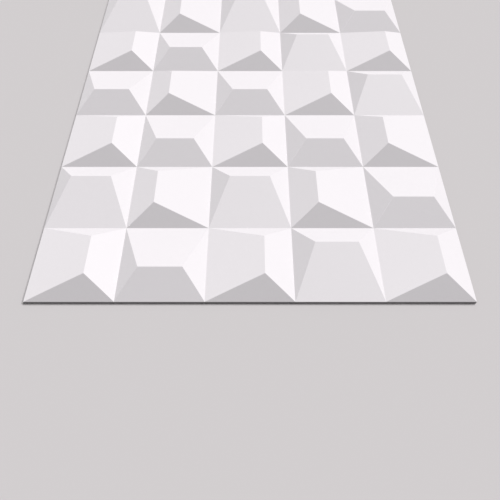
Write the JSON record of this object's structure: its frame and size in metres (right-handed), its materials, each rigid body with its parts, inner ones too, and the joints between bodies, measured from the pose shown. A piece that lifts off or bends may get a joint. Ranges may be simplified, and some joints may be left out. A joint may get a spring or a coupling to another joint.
{
  "type": "faceted wall panel",
  "caption": "Flat-backed moulded wall panel whose face is a grid of square cells, each a low hip roof with an off-centre ridge, turned different ways to catch the light.",
  "frame": {"origin": "centre of the panel's flat back", "axes": "+X across the panel, +Y along it away from the edge that is nearest in the picture, +Z out of its face"},
  "size_m": [0.5, 1.2, 0.024],
  "materials": {
    "panel": "matte white with a very fine grain"
  },
  "bodies": {
    "root": {"wall_panel": "panel"}
  },
  "joints": []
}
